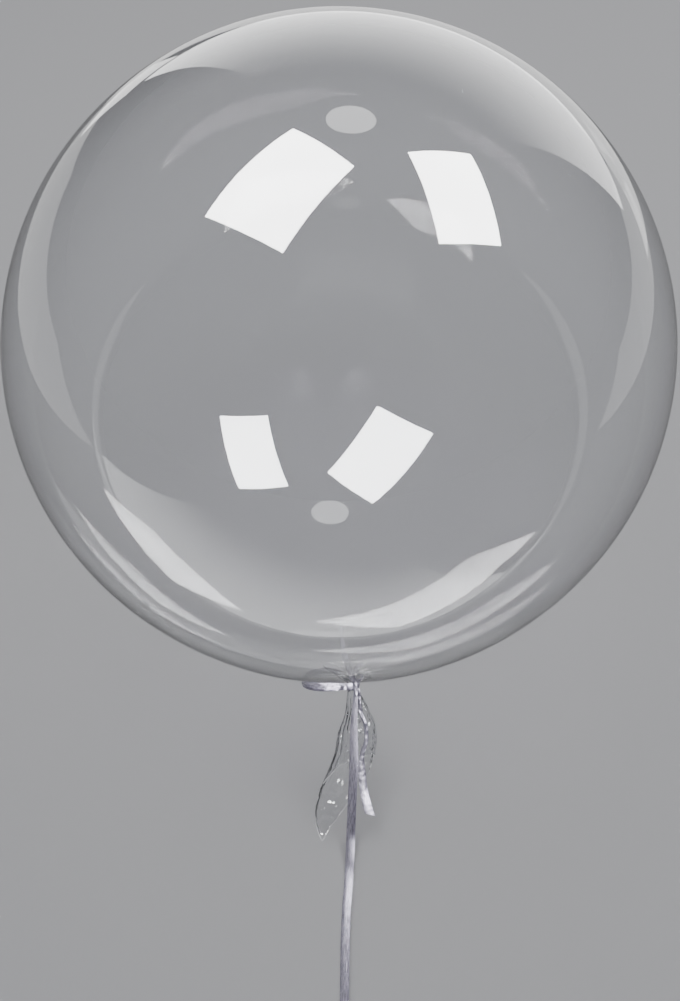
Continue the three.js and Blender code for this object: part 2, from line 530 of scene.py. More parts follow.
@dataclass
class NodeDesk:
    """A node tree being wired: it adds nodes, sets their values and links their sockets."""

    tree: bpy.types.NodeTree

    def add(self, kind: str, **values: object) -> bpy.types.Node:
        """Adds a node and sets its properties, and sockets given by name with _ for spaces.

        Args:
            kind: The node's type.
            values: Properties of the node, or default values of its input sockets.

        Returns:
            The node.
        """
        node = self.tree.nodes.new(kind)
        for name, value in values.items():
            label = name.replace("_", " ")
            if hasattr(node, name):
                setattr(node, name, value)
            else:
                node.inputs[label].default_value = value
        return node

    def maths(self, operation: str, *terms: object, clamp: bool = False) -> bpy.types.NodeSocket:
        """Adds a Math node.

        Args:
            operation: What it does.
            terms: Its inputs, each a number or a socket.
            clamp: Whether its result is held between 0 and 1.

        Returns:
            The node's output.
        """
        node = self.add("ShaderNodeMath", operation=operation, use_clamp=clamp)
        for socket, term in zip(node.inputs, terms):
            if isinstance(term, bpy.types.NodeSocket):
                self.link(term, socket)
            else:
                socket.default_value = term
        return node.outputs[0]

    def spread(self, value: bpy.types.NodeSocket, *ends: float) -> bpy.types.NodeSocket:
        """Maps a value from one range to another, held at the ends.

        Args:
            value: The value.
            ends: The low and high ends it comes from, then those that it goes to.

        Returns:
            The mapped value.
        """
        node = self.add("ShaderNodeMapRange", interpolation_type="SMOOTHSTEP")
        self.link(value, node.inputs["Value"])
        for label, end in zip(("From Min", "From Max", "To Min", "To Max"), ends):
            node.inputs[label].default_value = end
        return node.outputs["Result"]

    def blend(
        self,
        share: bpy.types.NodeSocket,
        first: Sequence[float],
        second: Sequence[float],
    ) -> bpy.types.NodeSocket:
        """Blends two colours by a share.

        Args:
            share: How much of the second colour shows.
            first: The first colour.
            second: The second colour.

        Returns:
            The blended colour.
        """
        node = self.add("ShaderNodeMix", data_type="RGBA")
        self.link(share, node.inputs[0])
        node.inputs[6].default_value = (*first, 1.0)
        node.inputs[7].default_value = (*second, 1.0)
        return node.outputs[2]

    def group(
        self,
        tree: bpy.types.NodeTree,
        vector: bpy.types.NodeSocket,
        **values: float,
    ) -> bpy.types.Node:
        """Places a node group with its own values.

        Args:
            tree: The group.
            vector: The coordinates that it reads.
            values: Its number inputs.

        Returns:
            The group's node.
        """
        node = self.add("ShaderNodeGroup")
        node.node_tree = tree
        self.link(vector, node.inputs["Vector"])
        for name, value in values.items():
            node.inputs[name.replace("_", " ")].default_value = value
        return node

    def link(self, start: bpy.types.NodeSocket, end: bpy.types.NodeSocket) -> None:
        """Links two sockets."""
        self.tree.links.new(start, end)


@dataclass
class Effects:
    """The surface effects that the finishes share, each a node group built once."""

    marks: bpy.types.NodeTree = field(init=False)
    ripples: bpy.types.NodeTree = field(init=False)

    def __post_init__(self) -> None:
        """Builds the groups."""
        self.marks = self.build_marks()
        self.ripples = self.build_ripples()

    def build_marks(self) -> bpy.types.NodeTree:
        """Builds soft smudges from handling, with finer dust over them.

        Returns:
            The group, which puts out a mask.
        """
        tree, start, end = socket_group(
            "handling_marks",
            {"Size": 0.05, "Cover": 0.4, "Dust": 0.3},
            {"Mask": "NodeSocketFloat"},
        )
        desk = NodeDesk(tree)
        scale = desk.maths("DIVIDE", 1.0, start.outputs["Size"])
        smudge = desk.add("ShaderNodeTexNoise", Detail=3.0, Roughness=0.6, Distortion=0.8)
        desk.link(start.outputs["Vector"], smudge.inputs["Vector"])
        desk.link(scale, smudge.inputs["Scale"])
        dust = desk.add("ShaderNodeTexVoronoi")
        desk.link(start.outputs["Vector"], dust.inputs["Vector"])
        desk.link(desk.maths("MULTIPLY", scale, 14.0), dust.inputs["Scale"])
        speck = desk.spread(dust.outputs["Distance"], 0.10, 0.22, 1.0, 0.0)
        edge = desk.maths("SUBTRACT", 1.0, start.outputs["Cover"])
        soft = desk.maths("SUBTRACT", smudge.outputs["Fac"], edge)
        soft = desk.maths("MULTIPLY", soft, 4.0, clamp=True)
        dusty = desk.maths("MULTIPLY", speck, start.outputs["Dust"])
        desk.link(desk.maths("MAXIMUM", soft, dusty), end.inputs["Mask"])
        return tree

    def build_ripples(self) -> bpy.types.NodeTree:
        """Builds faint waves, as in film or foil that was stretched.

        Returns:
            The group, which puts out a height.
        """
        tree, start, end = socket_group(
            "stretch_ripples",
            {"Size": 0.05, "Stretch": 3.0},
            {"Height": "NodeSocketFloat"},
        )
        desk = NodeDesk(tree)
        scale = desk.maths("DIVIDE", 1.0, start.outputs["Size"])
        apart = desk.add("ShaderNodeSeparateXYZ")
        desk.link(start.outputs["Vector"], apart.inputs["Vector"])
        drawn = desk.add("ShaderNodeCombineXYZ")
        desk.link(apart.outputs["X"], drawn.inputs["X"])
        desk.link(apart.outputs["Y"], drawn.inputs["Y"])
        along = desk.maths("DIVIDE", apart.outputs["Z"], start.outputs["Stretch"])
        desk.link(along, drawn.inputs["Z"])
        wave = desk.add("ShaderNodeTexNoise", Detail=2.0, Roughness=0.45, Distortion=0.3)
        desk.link(drawn.outputs["Vector"], wave.inputs["Vector"])
        desk.link(scale, wave.inputs["Scale"])
        desk.link(wave.outputs["Fac"], end.inputs["Height"])
        return tree


def blank_material(name: str) -> tuple[bpy.types.Material, NodeDesk, bpy.types.Node]:
    """Starts a material with an empty tree and its output.

    Args:
        name: The material's name.

    Returns:
        The material, the desk to wire it on, and its output node.
    """
    material = bpy.data.materials.new(name)
    material.use_nodes = True
    material.node_tree.nodes.clear()
    desk = NodeDesk(material.node_tree)
    return material, desk, desk.add("ShaderNodeOutputMaterial")


@dataclass(frozen=True)
class FloorFinish:
    """A plain pale matt floor."""

    colour: tuple[float, float, float] = (0.46, 0.46, 0.475)
    roughness: float = 0.7

    def build(self) -> bpy.types.Material:
        """Builds the floor's material.

        Returns:
            The material.
        """
        material, desk, output = blank_material("pale_floor")
        shader = desk.add("ShaderNodeBsdfPrincipled", Roughness=self.roughness)
        shader.inputs["Base Color"].default_value = (*self.colour, 1.0)
        shader.inputs["Specular IOR Level"].default_value = 0.2
        desk.link(shader.outputs["BSDF"], output.inputs["Surface"])
        return material


@dataclass(frozen=True)
class ClearFilmFinish:
    """Clear glossy film: see-through, with faint stretch ripples and marks from handling."""

    effects: Effects
    index: float = 1.6
    clean: float = 0.0
    smudged: float = 0.06
    shade_cast: float = 0.95

    def build(self) -> bpy.types.Material:
        """Builds the film's material.

        Returns:
            The material.
        """
        material, desk, output = blank_material("clear_film")
        place = desk.add("ShaderNodeTexCoord")
        shader = desk.add("ShaderNodeBsdfPrincipled", IOR=self.index)
        shader.inputs["Transmission Weight"].default_value = 1.0
        shader.inputs["Base Color"].default_value = (0.985, 0.99, 1.0, 1.0)
        marks = desk.group(self.effects.marks, place.outputs["Object"], Size=0.09, Cover=0.42)
        rough = desk.spread(marks.outputs["Mask"], 0.0, 1.0, self.clean, self.smudged)
        desk.link(rough, shader.inputs["Roughness"])
        ripples = desk.group(self.effects.ripples, place.outputs["Object"], Size=0.12)
        bump = desk.add("ShaderNodeBump", Strength=0.06, Distance=0.002)
        desk.link(ripples.outputs["Height"], bump.inputs["Height"])
        desk.link(bump.outputs["Normal"], shader.inputs["Normal"])
        desk.link(self.let_light_by(desk, shader.outputs["BSDF"]), output.inputs["Surface"])
        return material

    def let_light_by(self, desk: NodeDesk, glass: bpy.types.NodeSocket) -> bpy.types.NodeSocket:
        """Lets lamps and the floor's own light pass the film unbent, where the eye sees glass.

        Args:
            desk: The desk that the material is wired on.
            glass: The film's own shader.

        Returns:
            The mixed shader.
        """
        path = desk.add("ShaderNodeLightPath")
        mixed_shader = glass
        for ray in ("Is Shadow Ray", "Is Diffuse Ray"):
            clear = desk.add("ShaderNodeBsdfTransparent")
            clear.inputs["Color"].default_value = (self.shade_cast,) * 3 + (1.0,)
            mixer = desk.add("ShaderNodeMixShader")
            desk.link(path.outputs[ray], mixer.inputs[0])
            desk.link(mixed_shader, mixer.inputs[1])
            desk.link(clear.outputs[0], mixer.inputs[2])
            mixed_shader = mixer.outputs[0]
        return mixed_shader


@dataclass(frozen=True)
class CutEdgePaintedGlintFinish:
    """The film's cut edge: painted white, a painted highlight that shows as a bright thin line."""

    effects: Effects
    # The white is a painted highlight: it stands for a bright glint along the cut edge.
    colour: tuple[float, float, float] = (0.93, 0.94, 0.96)
    clouded: tuple[float, float, float] = (0.75, 0.77, 0.80)

    def build(self) -> bpy.types.Material:
        """Builds the cut edge's material.

        Returns:
            The material.
        """
        material, desk, output = blank_material("film_cut_edge_painted_glint")
        place = desk.add("ShaderNodeTexCoord")
        marks = desk.group(self.effects.marks, place.outputs["Object"], Size=0.004, Cover=0.5)
        shader = desk.add("ShaderNodeBsdfPrincipled", Roughness=0.35)
        tone = desk.blend(marks.outputs["Mask"], self.colour, self.clouded)
        desk.link(tone, shader.inputs["Base Color"])
        rough = desk.spread(marks.outputs["Mask"], 0.0, 1.0, 0.25, 0.5)
        desk.link(rough, shader.inputs["Roughness"])
        desk.link(shader.outputs["BSDF"], output.inputs["Surface"])
        return material


@dataclass(frozen=True)
class PearlRibbonFinish:
    """Pearly silver-lilac ribbon: fine ribs along it, a soft sheen, a thin gloss, and painted light and
    shade across its width.
    """

    effects: Effects
    name: str = "pearl_ribbon"
    colour: tuple[float, float, float] = (0.34, 0.325, 0.40)
    # shade is the darker tone of the ribs and streaks, and also the painted shade of the ribbon's
    # darker side.
    shade: tuple[float, float, float] = (0.17, 0.155, 0.215)
    metallic: float = 0.45
    roughness: float = 0.25
    rubbed: float = 0.30
    ribs: float = 15.0
    crinkle: float = 0.12

    def build(self) -> bpy.types.Material:
        """Builds the ribbon's material. It reads the ribbon's own UV map: across, then along.

        Returns:
            The material.
        """
        material, desk, output = blank_material(self.name)
        shader = desk.add("ShaderNodeBsdfPrincipled", Metallic=self.metallic, IOR=1.5)
        shader.inputs["Coat Weight"].default_value = 0.4
        shader.inputs["Coat Roughness"].default_value = 0.16
        shader.inputs["Sheen Weight"].default_value = 0.08
        shader.inputs["Sheen Roughness"].default_value = 0.4
        shader.inputs["Anisotropic"].default_value = 0.2
        where = desk.add("ShaderNodeUVMap", uv_map="along_ribbon")
        apart = desk.add("ShaderNodeSeparateXYZ")
        desk.link(where.outputs["UV"], apart.inputs["Vector"])
        turns = desk.maths("MULTIPLY", apart.outputs["X"], self.ribs * 2 * math.pi)
        rib = desk.maths("MULTIPLY_ADD", desk.maths("SINE", turns), 0.5, 0.5)
        streak = desk.add("ShaderNodeTexNoise", Scale=6.0, Detail=3.0, Roughness=0.6)
        squeezed = desk.add("ShaderNodeCombineXYZ")
        desk.link(desk.maths("MULTIPLY", apart.outputs["X"], 2.2), squeezed.inputs["X"])
        desk.link(desk.maths("MULTIPLY", apart.outputs["Y"], 0.12), squeezed.inputs["Y"])
        desk.link(squeezed.outputs["Vector"], streak.inputs["Vector"])
        # Painted light and shade: the part of the width past its middle is painted lighter, and the
        # rest stays darker as painted shade.
        pale = desk.spread(apart.outputs["X"], 0.3, 0.52, 0.0, 0.45)
        tone = desk.maths("MULTIPLY_ADD", rib, 0.2, desk.spread(
            streak.outputs["Fac"], 0.3, 0.7, 0.0, 0.5
        ))
        tone = desk.maths("ADD", tone, pale, clamp=True)
        desk.link(desk.blend(tone, self.shade, self.colour), shader.inputs["Base Color"])
        place = desk.add("ShaderNodeTexCoord")
        rough = desk.spread(streak.outputs["Fac"], 0.3, 0.7, self.roughness, self.rubbed)
        desk.link(rough, shader.inputs["Roughness"])
        ripples = desk.group(self.effects.ripples, place.outputs["Object"], Size=0.006, Stretch=1.0)
        height = desk.maths("MULTIPLY_ADD", ripples.outputs["Height"], self.crinkle * 6.0, rib)
        bump = desk.add("ShaderNodeBump", Strength=0.35, Distance=0.00006)
        desk.link(height, bump.inputs["Height"])
        desk.link(bump.outputs["Normal"], shader.inputs["Normal"])
        desk.link(shader.outputs["BSDF"], output.inputs["Surface"])
        return material


# ---------------------------------------------------------------- ribbon


@dataclass(frozen=True)
class FlatRibbon:
    """A flat ribbon swept along a line, with a slightly cupped section."""

    width: float = 6 * MM
    thickness: float = 0.3 * MM
    cup: float = 0.35 * MM
    strands: int = 10
    slant_rows: int = 20

    def section(self) -> list[Vector]:
        """Returns the section's points: across it, and up off its face."""
        places = [2.0 * i / self.strands - 1.0 for i in range(self.strands + 1)]
        return [
            Vector((0.5 * self.width * at, self.cup * (0.5 - at * at), 0.0)) for at in places
        ]

    def sweep(
        self,
        line: Sequence[Vector],
        faces: Sequence[Vector],
        widths: Callable[[float], float] = lambda length: 1.0,
        relief: Callable[[float, float], float] = lambda at, along: 0.0,
        slant: float = 0.0,
    ) -> bmesh.types.BMesh:
        """Sweeps the ribbon along a line and gives it its thickness.

        Args:
            line: The ribbon's middle line, in steps.
            faces: The way that the ribbon's upper face points at each step.
            widths: The ribbon's share of its full width, a length on from its start.
            relief: How far the face stands proud, by place across and length along.
            slant: How much further one edge runs than the other where the ribbon is cut off.

        Returns:
            The ribbon's shape, with its UV map: across from 0 to 1, and along in widths.
        """
        shape = bmesh.new()
        section = self.section()
        row = [shape.verts.new(point) for point in section]
        edges = [shape.edges.new(pair) for pair in zip(row, row[1:])]
        rows = [row]
        for _ in line[1:]:
            grown = bmesh.ops.extrude_edge_only(shape, edges=edges)["geom"]
            row = [part for part in grown if isinstance(part, bmesh.types.BMVert)]
            edges = [
                part for part in grown
                if isinstance(part, bmesh.types.BMEdge) and part.verts[0] in row
                and part.verts[1] in row
            ]
            row.sort(key=lambda vert: vert.co.x)
            rows.append(row)
        self.lay_out(shape, rows, line, faces, widths, relief)
        self.cut_off(rows, slant)
        bmesh.ops.recalc_face_normals(shape, faces=shape.faces)
        bmesh.ops.solidify(shape, geom=shape.faces[:], thickness=self.thickness)
        return shape

    def lay_out(
        self,
        shape: bmesh.types.BMesh,
        rows: Sequence[Sequence[bmesh.types.BMVert]],
        line: Sequence[Vector],
        faces: Sequence[Vector],
        widths: Callable[[float], float],
        relief: Callable[[float, float], float],
    ) -> None:
        """Moves each row of the swept ribbon to its place on the line, and writes the UV map."""
        across_of = {
            vert: i / self.strands for row in rows for i, vert in enumerate(row)
        }
        row_of = {vert: i for i, row in enumerate(rows) for vert in row}
        section = self.section()
        step = length_of(line) / (len(line) - 1)
        for i, (row, point, tangent, face) in enumerate(
            zip(rows, line, tangents_of(line), faces)
        ):
            side = tangent.cross(face).normalized()
            up = side.cross(tangent)
            wide = widths(i * step)
            for vert, place in zip(row, section):
                proud = place.y + relief(across_of[vert], i * step)
                vert.co = point + side * place.x * wide + up * proud
        layer = shape.loops.layers.uv.new("along_ribbon")
        for face in shape.faces:
            for loop in face.loops:
                along = row_of[loop.vert] * step / self.width
                loop[layer].uv = (across_of[loop.vert], along)

    def cut_off(self, rows: Sequence[Sequence[bmesh.types.BMVert]], slant: float) -> None:
        """Draws the last rows back towards one edge, so that the end is cut on a slant."""
        if slant <= 0.0:
            return
        ending = rows[-1 - self.slant_rows:]
        start = [vert.co.copy() for vert in ending[0]]
        run = sum((far[0].co - near[0].co).length for near, far in zip(ending, ending[1:]))
        for i, row in enumerate(ending):
            for j, vert in enumerate(row):
                back = (i / self.slant_rows) * (j / self.strands) * slant / run
                vert.co = vert.co.lerp(start[j], min(back, 0.95))


@dataclass(frozen=True)
class LongEnd:
    """The ribbon's long end: over the tail, along the floor, and into a coil on its edge."""

    pose: LyingPose
    finish: bpy.types.Material
    ribbon: FlatRibbon = FlatRibbon()
    step: float = 1.6 * MM
    coil_centre: tuple[float, float] = (27.5 * MM, -420 * MM)
    coil_outer: float = 46 * MM
    coil_pitch: float = 6 * MM
    coil_turns: float = 4.64
    points_a_turn: int = 48
    turns_on_edge_from: float = -375 * MM
    turns_on_edge_by: float = -412 * MM
    lands_from: float = -235 * MM
    lands_over: float = 55 * MM
    leans_from: float = -206 * MM
    leans_over: float = 32 * MM
    floor_lean: float = math.radians(-13)
    flat_height: float = 0.95 * MM
    edge_clearance: float = 0.3 * MM

    def on_tail(self) -> list[Vector]:
        """Returns the route over the tail: across, lift and along."""
        return self.pose.placed(in_metres([
            (2.0, 6.6, 233.6),
            (1.8, 7.1, 236.2),
            (0.7, 7.2, 246),
            (-0.5, 7.2, 258),
            (-1, 7.2, 270),
            (-1.6, 7.2, 283),
            (-2.6, 7, 296),
            (-3.7, 6.4, 309),
            (-4.7, 5.2, 322),
            (-5.6, 4, 334),
        ]))

    def on_floor(self) -> list[Vector]:
        """Returns the route along the floor: across, along the floor and up."""
        return in_metres([
            (-7, -270, 2.6),
            (-8.4, -283, 0.9),
            (-10.6, -299, 0.8),
            (-12.3, -315, 0.8),
            (-13.6, -331, 0.8),
            (-14.7, -347, 0.8),
            (-15.8, -363, 0.8),
            (-16.8, -380, 0.8),
            (-17.7, -397, 0.8),
        ])

    def in_coil(self) -> list[Vector]:
        """Returns the coil's turns, from its outermost point inwards."""
        steps = round(self.coil_turns * self.points_a_turn)
        turns = []
        for i in range(steps + 1):
            turn = i / self.points_a_turn
            angle = math.pi + 2 * math.pi * turn
            radius = self.coil_outer - self.coil_pitch * turn
            turns.append(Vector((
                self.coil_centre[0] + radius * math.cos(angle),
                self.coil_centre[1] + radius * math.sin(angle),
                0.0,
            )))
        return turns

    def edge_share(self, along_y: float) -> float:
        """Returns how far the ribbon has turned on its edge at a place along the floor."""
        room = self.turns_on_edge_by - self.turns_on_edge_from
        return eased((along_y - self.turns_on_edge_from) / room)

    def line(self) -> tuple[list[Vector], list[Vector]]:
        """Works out the ribbon's middle line and its facing.

        Returns:
            The points of the line, and the way that the face points at each.
        """
        loose = smooth_curve([*self.on_tail(), *self.on_floor(), self.in_coil()[0]])
        loose = evenly(loose, self.step)
        coil = evenly(self.in_coil(), self.step)[1:]
        points = [*loose, *coil]
        tangents = tangents_of(points)
        off_tail = self.pose.turned((0, 1, 0))
        facings = []
        for i, (point, tangent) in enumerate(zip(points, tangents)):
            landed = eased((self.lands_from - point.y) / self.lands_over)
            upward = off_tail.lerp(UP, landed)
            side = tangent.cross(upward).normalized()
            facing = side.cross(tangent)
            share = self.edge_share(point.y) if i < len(loose) else 1.0
            leaned = eased((self.leans_from - point.y) / self.leans_over)
            roll = mixed(self.floor_lean * leaned, math.pi / 2, share)
            facing = Matrix.Rotation(-roll, 3, tangent) @ facing
            facings.append(facing)
            if share > 0.0:
                half = 0.5 * self.ribbon.width * math.sin(share * math.pi / 2)
                point.z = mixed(self.flat_height, self.edge_clearance, share) + half
        return points, facings

    def bunched(self, length: float) -> float:
        """Returns the ribbon's share of its full width, a length on from the knot."""
        return mixed(0.5, 1.0, eased(length / (55 * MM)) ** 0.7)

    def build(self) -> bpy.types.Object:
        """Returns:
            The long end.
        """
        points, facings = self.line()
        made = as_object(
            "ribbon_long_end", self.ribbon.sweep(points, facings, self.bunched), sharp_from=50.0
        )
        made.data.materials.append(self.finish)
        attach(made, "root")
        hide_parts("ribbon_lead", "ribbon_coil")
        log.info("long end: %.3f m of ribbon", length_of(points))
        return made


@dataclass(frozen=True)
class ShortEnd:
    """The ribbon's short end: bunched and crumpled by the knot, then wide and curling up."""

    pose: LyingPose
    finish: bpy.types.Material
    ribbon: FlatRibbon = FlatRibbon(cup=0.45 * MM)
    step: float = 0.5 * MM
    roll_at: tuple[tuple[float, float], ...] = (
        (0, 0), (9, 20), (17, -14), (25, 26), (33, -10), (42, 10), (52, -13), (68, -13),
        (77, -4), (90, 2),
    )
    width_at: tuple[tuple[float, float], ...] = (
        (0, 0.36), (14, 0.42), (30, 0.46), (44, 0.5), (60, 0.92), (90, 1.0),
    )
    crumple: float = 0.7 * MM
    crumple_length: float = 2.8 * MM
    crumpled_to: float = 58 * MM
    slant: float = 3.2 * MM

    def route(self) -> list[Vector]:
        """Returns the route down the tail: across, lift and along."""
        return self.pose.placed(in_metres([
            (3.4, 6.3, 233.6),
            (3.8, 6.1, 236.2),
            (3.9, 5.6, 243),
            (5, 5.8, 251),
            (7.2, 6, 258),
            (7.8, 6.1, 264.5),
            (7.2, 6, 270),
            (4.9, 5.9, 276),
            (3.8, 5.8, 283),
            (3.8, 5.7, 292),
            (4.5, 6, 302),
            (6, 7.6, 311),
            (8.2, 10.2, 319.5),
        ]))

    def read_off(self, table: Sequence[tuple[float, float]], length: float) -> float:
        """Reads a value off a short table of lengths in millimetres and values."""
        for (start, low), (end, high) in zip(table, table[1:]):
            if length <= end * MM:
                return mixed(low, high, eased((length - start * MM) / ((end - start) * MM)))
        return table[-1][1]

    def relief(self, at: float, along: float) -> float:
        """Returns how far small creases lift the face, by place across and along."""
        fade = 1.0 - eased(along / self.crumpled_to)
        where = Vector((at * 1.7, along / self.crumple_length, 4.0))
        return self.crumple * (0.25 + 0.75 * fade) * noise.noise(where)

    def build(self) -> bpy.types.Object:
        """Returns:
            The short end.
        """
        points = evenly(smooth_curve(self.route()), self.step)
        off_tail = self.pose.turned((0, 1, 0))
        step = length_of(points) / (len(points) - 1)
        facings = []
        for i, tangent in enumerate(tangents_of(points)):
            side = tangent.cross(off_tail).normalized()
            roll = math.radians(self.read_off(self.roll_at, i * step))
            facings.append(Matrix.Rotation(roll, 3, tangent) @ side.cross(tangent))
        made = as_object(
            "ribbon_short_end_strip",
            self.ribbon.sweep(
                points,
                facings,
                widths=lambda length: self.read_off(self.width_at, length),
                relief=self.relief,
                slant=self.slant,
            ),
            sharp_from=50.0,
        )
        made.data.materials.append(self.finish)
        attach(made, "root")
        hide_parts("ribbon_short_end")
        log.info("short end: %.3f m of ribbon", length_of(points))
        return made


@dataclass(frozen=True)
class TiedBow:
    """The knot round the neck: three wraps, the band that crosses them, and one bow loop."""

    pose: LyingPose
    finish: bpy.types.Material
    wrap: FlatRibbon = FlatRibbon(width=3.9 * MM, cup=0.3 * MM)
    wrap_turns: float = 3.2
    wrap_radius: float = 4.75 * MM
    wrap_from: float = 228.9 * MM
    wrap_to: float = 234.2 * MM
    lean: float = math.radians(13)
    crossing: FlatRibbon = FlatRibbon(width=4.0 * MM, cup=0.9 * MM)
    crossing_across: float = 1.7 * MM
    loop: FlatRibbon = FlatRibbon(cup=0.5 * MM, strands=14)
    loop_lean: float = math.radians(20)
    crease: float = 0.62 * MM
    crease_length: float = 5.2 * MM
    step: float = 0.6 * MM

    def wraps(self) -> bmesh.types.BMesh:
        """Winds the bunched ribbon round the neck, each turn lapping the one before."""
        steps = round(self.wrap_turns * 56)
        line, faces = [], []
        for i in range(steps + 1):
            turn = math.tau * self.wrap_turns * i / steps - 0.5 * math.pi
            out = Vector((math.cos(turn), math.sin(turn), 0.0))
            along = mixed(self.wrap_from, self.wrap_to, i / steps)
            crumple = 0.16 * MM * noise.noise(Vector((out.x * 3, out.y * 3, i * 0.05)))
            line.append(out * (self.wrap_radius + crumple) + Vector((0.0, 0.0, along)))
            face = out * math.cos(self.lean) + Vector((0.0, 0.0, math.sin(self.lean)))
            faces.append(face)
        return self.wrap.sweep(line, faces)

    def crossing_band(self) -> bmesh.types.BMesh:
        """Bends the band over the wraps and the start of both ends, and tucks it in above."""
        route = in_metres([
            (1.2, 4.1, 226.4),
            (1.5, 5.4, 226.5),
            (1.7, 6.7, 227.6),
            (1.8, 7.4, 229.5),
            (1.9, 7.6, 232.0),
            (2.0, 7.7, 234.4),
            (2.0, 7.8, 236.4),
            (2.0, 7.9, 238.2),
        ])
        line = evenly(smooth_curve(route), 0.4 * MM)
        middle = Vector((self.crossing_across, -4 * MM, 233 * MM))
        faces = [(point - middle).normalized() for point in line]
        return self.crossing.sweep(
            line,
            faces,
            widths=lambda length: mixed(1.0, 0.8, eased(length / (12 * MM))),
            relief=lambda at, along: 0.3 * MM * noise.noise(Vector((at * 2.5, along * 350, 9.0))),
        )

    def bow_loop(self) -> bmesh.types.BMesh:
        """Bends the bow's single loop out to the left and back behind the neck."""
        route = in_metres([
            (0.4, 6.3, 230.4),
            (-4, 8, 230.2),
            (-9, 10.4, 229.9),
            (-20, 12.5, 229.6),
            (-29.5, 7, 229.2),
            (-33.5, -4, 228.6),
            (-32, -15, 228),
            (-25, -23.5, 227.6),
            (-15, -25.5, 227.6),
            (-7, -18, 228.6),
            (-4.2, -9, 229.6),
            (-2, -6, 230),
        ])
        line = evenly(smooth_curve(route), self.step)
        middle = Vector((-16 * MM, -6 * MM, 229 * MM))
        faces = []
        for point, tangent in zip(line, tangents_of(line)):
            side = tangent.cross(point - middle)
            out = side.cross(tangent).normalized()
            faces.append(out * math.cos(self.loop_lean) - Vector((0, 0, math.sin(self.loop_lean))))
        return self.loop.sweep(line, faces, relief=self.crinkle)

    def crinkle(self, at: float, along: float) -> float:
        """Returns how far small creases lift the loop's face, by place across and along."""
        where = Vector((at * 1.6 + along / (9 * MM), along / self.crease_length, 0.0))
        fine = Vector((at * 4.0, along / (0.45 * self.crease_length), 7.0))
        lift = noise.noise(where) + 0.35 * noise.noise(fine)
        return self.crease * lift * eased(along / (7 * MM))

    def build(self) -> bpy.types.Object:
        """Makes the knot and the bow loop as one piece.

        Returns:
            The piece.
        """
        together = bmesh.new()
        for shape in (self.wraps(), self.crossing_band(), self.bow_loop()):
            part = bpy.data.meshes.new("part_of_bow")
            shape.to_mesh(part)
            shape.free()
            together.from_mesh(part)
            bpy.data.meshes.remove(part)
        bmesh.ops.transform(together, matrix=self.pose.matrix, verts=together.verts)
        made = as_object("ribbon_knot_and_loop", together, sharp_from=50.0)
        made.data.materials.append(self.finish)
        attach(made, "root")
        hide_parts("ribbon_bow")
        log.info("knot and bow loop: %d faces", len(made.data.polygons))
        return made


# ---------------------------------------------------------------- film


